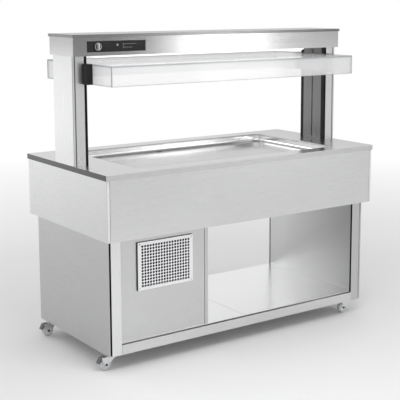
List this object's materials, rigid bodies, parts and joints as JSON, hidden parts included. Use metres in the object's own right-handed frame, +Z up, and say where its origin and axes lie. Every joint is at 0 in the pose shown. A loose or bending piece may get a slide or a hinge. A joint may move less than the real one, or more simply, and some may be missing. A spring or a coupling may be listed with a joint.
{
  "type": "refrigerated buffet island",
  "caption": "Free-standing stainless buffet island on casters, with a chilled well, an open storage bay and a clear dome that lowers from a bridge on end columns.",
  "frame": {"origin": "on the floor, under the middle of the counter", "axes": "+X along the counter to the customer's right at the front, -Y the front with the controls, +Z up"},
  "size_m": [1.408, 0.7, 1.331],
  "materials": {
    "stainless": "fine brushed stainless sheet",
    "polished_steel": "pressed and polished",
    "zinc_steel": "bright zinc",
    "black_guide": "matt black moulded",
    "black_gloss": "black panel film",
    "knob_plastic": "satin",
    "lamp_lens": "tinted lens",
    "clear_acrylic": "clear cast sheet",
    "light_diffuser": "white diffuser",
    "nut_bronze": "machined",
    "motor_paint": "black stove enamel",
    "wheel_rubber": "grey non-marking tread",
    "pedal_plastic": "dark moulded",
    "foam": "rigid foam",
    "copper": "drawn copper",
    "fin_aluminium": "mill finish",
    "shroud_plastic": "grained",
    "lever_red": "red dip coat",
    "switch_plastic": "black moulded"
  },
  "bodies": {
    "island": {"base_frame": "stainless", "corner_posts": "stainless", "side_panels": "stainless", "side_liners": "stainless", "shelf_sheets": "stainless", "partition": "stainless", "machine_front_panel": "stainless", "machine_rear_panel": "stainless", "vent_grille": "stainless", "panel_screws": "stainless", "housing_front_panel": "stainless", "housing_rear_panel": "stainless", "housing_end_panels": "stainless", "housing_floor": "stainless", "worktop": "stainless", "columns": "stainless", "column_panels": "stainless", "bridge_body": "stainless", "bridge_cap": "stainless", "well_basin": "polished_steel", "drain_outlet": "polished_steel", "spindle_bearings": "zinc_steel", "caster_plates": "zinc_steel", "guide_strips": "black_guide", "control_plate": "black_gloss", "pilot_lamp": "lamp_lens", "light_bar": "light_diffuser", "drain_valve": "nut_bronze", "lift_motors": "motor_paint", "compressor": "motor_paint", "insulation": "foam", "evaporator_coil": "copper", "refrigerant_lines": "copper", "condenser": "fin_aluminium", "fan_shroud": "shroud_plastic", "control_box": "shroud_plastic", "switch_frame": "switch_plastic"},
    "dome": {"dome_front": "clear_acrylic", "dome_rear": "clear_acrylic", "dome_ends": "clear_acrylic", "dome_top": "clear_acrylic", "guide_shoes": "black_guide", "lift_carriages": "zinc_steel", "lift_nuts": "nut_bronze"},
    "left_spindle": {"spindle_left": "zinc_steel"},
    "right_spindle": {"spindle_right": "zinc_steel"},
    "fan": {"fan_blades": "fin_aluminium"},
    "knob": {"selector_knob": "knob_plastic"},
    "lever": {"valve_lever": "lever_red"},
    "rocker": {"switch_rocker": "switch_plastic"},
    "fork_front_left": {"caster_fork_front_left": "zinc_steel"},
    "wheel_front_left": {"caster_wheel_front_left": "wheel_rubber"},
    "pedal_front_left": {"brake_pedal_front_left": "pedal_plastic"},
    "fork_front_right": {"caster_fork_front_right": "zinc_steel"},
    "wheel_front_right": {"caster_wheel_front_right": "wheel_rubber"},
    "fork_rear_left": {"caster_fork_rear_left": "zinc_steel"},
    "wheel_rear_left": {"caster_wheel_rear_left": "wheel_rubber"},
    "pedal_rear_left": {"brake_pedal_rear_left": "pedal_plastic"},
    "fork_rear_right": {"caster_fork_rear_right": "zinc_steel"},
    "wheel_rear_right": {"caster_wheel_rear_right": "wheel_rubber"}
  },
  "joints": [
    {"name": "dome_lift", "type": "slide", "parent": "island", "child": "dome", "axis": [0, 0, -1], "range_m": [0, 0.327]},
    {"name": "left_spindle_turn", "type": "hinge", "parent": "island", "child": "left_spindle", "pos_m": [-0.661, 0, 1], "axis": [0, 0, 1], "range_deg": [0, 5887]},
    {"name": "right_spindle_turn", "type": "hinge", "parent": "island", "child": "right_spindle", "pos_m": [0.661, 0, 1], "axis": [0, 0, 1], "range_deg": [0, 5887]},
    {"name": "fan_spin", "type": "hinge", "parent": "island", "child": "fan", "pos_m": [-0.408, -0.23, 0.414], "axis": [0, 1, 0], "continuous": true},
    {"name": "selector_turn", "type": "hinge", "parent": "island", "child": "knob", "pos_m": [-0.592, -0.107, 1.282], "axis": [0, -1, 0], "range_deg": [-45, 45], "stiffness_Nm_per_rad": 0.05},
    {"name": "valve_turn", "type": "hinge", "parent": "island", "child": "lever", "pos_m": [-0.265, 0.2145, 0.48], "axis": [0, -1, 0], "range_deg": [0, 90]},
    {"name": "switch_rock", "type": "hinge", "parent": "island", "child": "rocker", "pos_m": [-0.497, 0.3015, 0.47], "axis": [-1, 0, 0], "range_deg": [0, 16]},
    {"name": "front_left_swivel", "type": "hinge", "parent": "island", "child": "fork_front_left", "pos_m": [-0.64, -0.258, 0.056], "axis": [0, 0, 1], "continuous": true},
    {"name": "front_left_roll", "type": "hinge", "parent": "fork_front_left", "child": "wheel_front_left", "pos_m": [-0.67, -0.258, 0.025], "axis": [0, 1, 0], "continuous": true},
    {"name": "front_left_brake", "type": "hinge", "parent": "fork_front_left", "child": "pedal_front_left", "pos_m": [-0.685, -0.258, 0.052], "axis": [0, -1, 0], "range_deg": [0, 14]},
    {"name": "front_right_swivel", "type": "hinge", "parent": "island", "child": "fork_front_right", "pos_m": [0.64, -0.258, 0.056], "axis": [0, 0, 1], "continuous": true},
    {"name": "front_right_roll", "type": "hinge", "parent": "fork_front_right", "child": "wheel_front_right", "pos_m": [0.61, -0.258, 0.025], "axis": [0, 1, 0], "continuous": true},
    {"name": "rear_left_swivel", "type": "hinge", "parent": "island", "child": "fork_rear_left", "pos_m": [-0.64, 0.258, 0.056], "axis": [0, 0, 1], "continuous": true},
    {"name": "rear_left_roll", "type": "hinge", "parent": "fork_rear_left", "child": "wheel_rear_left", "pos_m": [-0.67, 0.258, 0.025], "axis": [0, 1, 0], "continuous": true},
    {"name": "rear_left_brake", "type": "hinge", "parent": "fork_rear_left", "child": "pedal_rear_left", "pos_m": [-0.685, 0.258, 0.052], "axis": [0, -1, 0], "range_deg": [0, 14]},
    {"name": "rear_right_swivel", "type": "hinge", "parent": "island", "child": "fork_rear_right", "pos_m": [0.64, 0.258, 0.056], "axis": [0, 0, 1], "continuous": true},
    {"name": "rear_right_roll", "type": "hinge", "parent": "fork_rear_right", "child": "wheel_rear_right", "pos_m": [0.61, 0.258, 0.025], "axis": [0, 1, 0], "continuous": true}
  ],
  "couplings": [
    {"joint": "left_spindle_turn", "follows": "dome_lift", "rad_per_m": 314.16},
    {"joint": "right_spindle_turn", "follows": "dome_lift", "rad_per_m": 314.16}
  ]
}
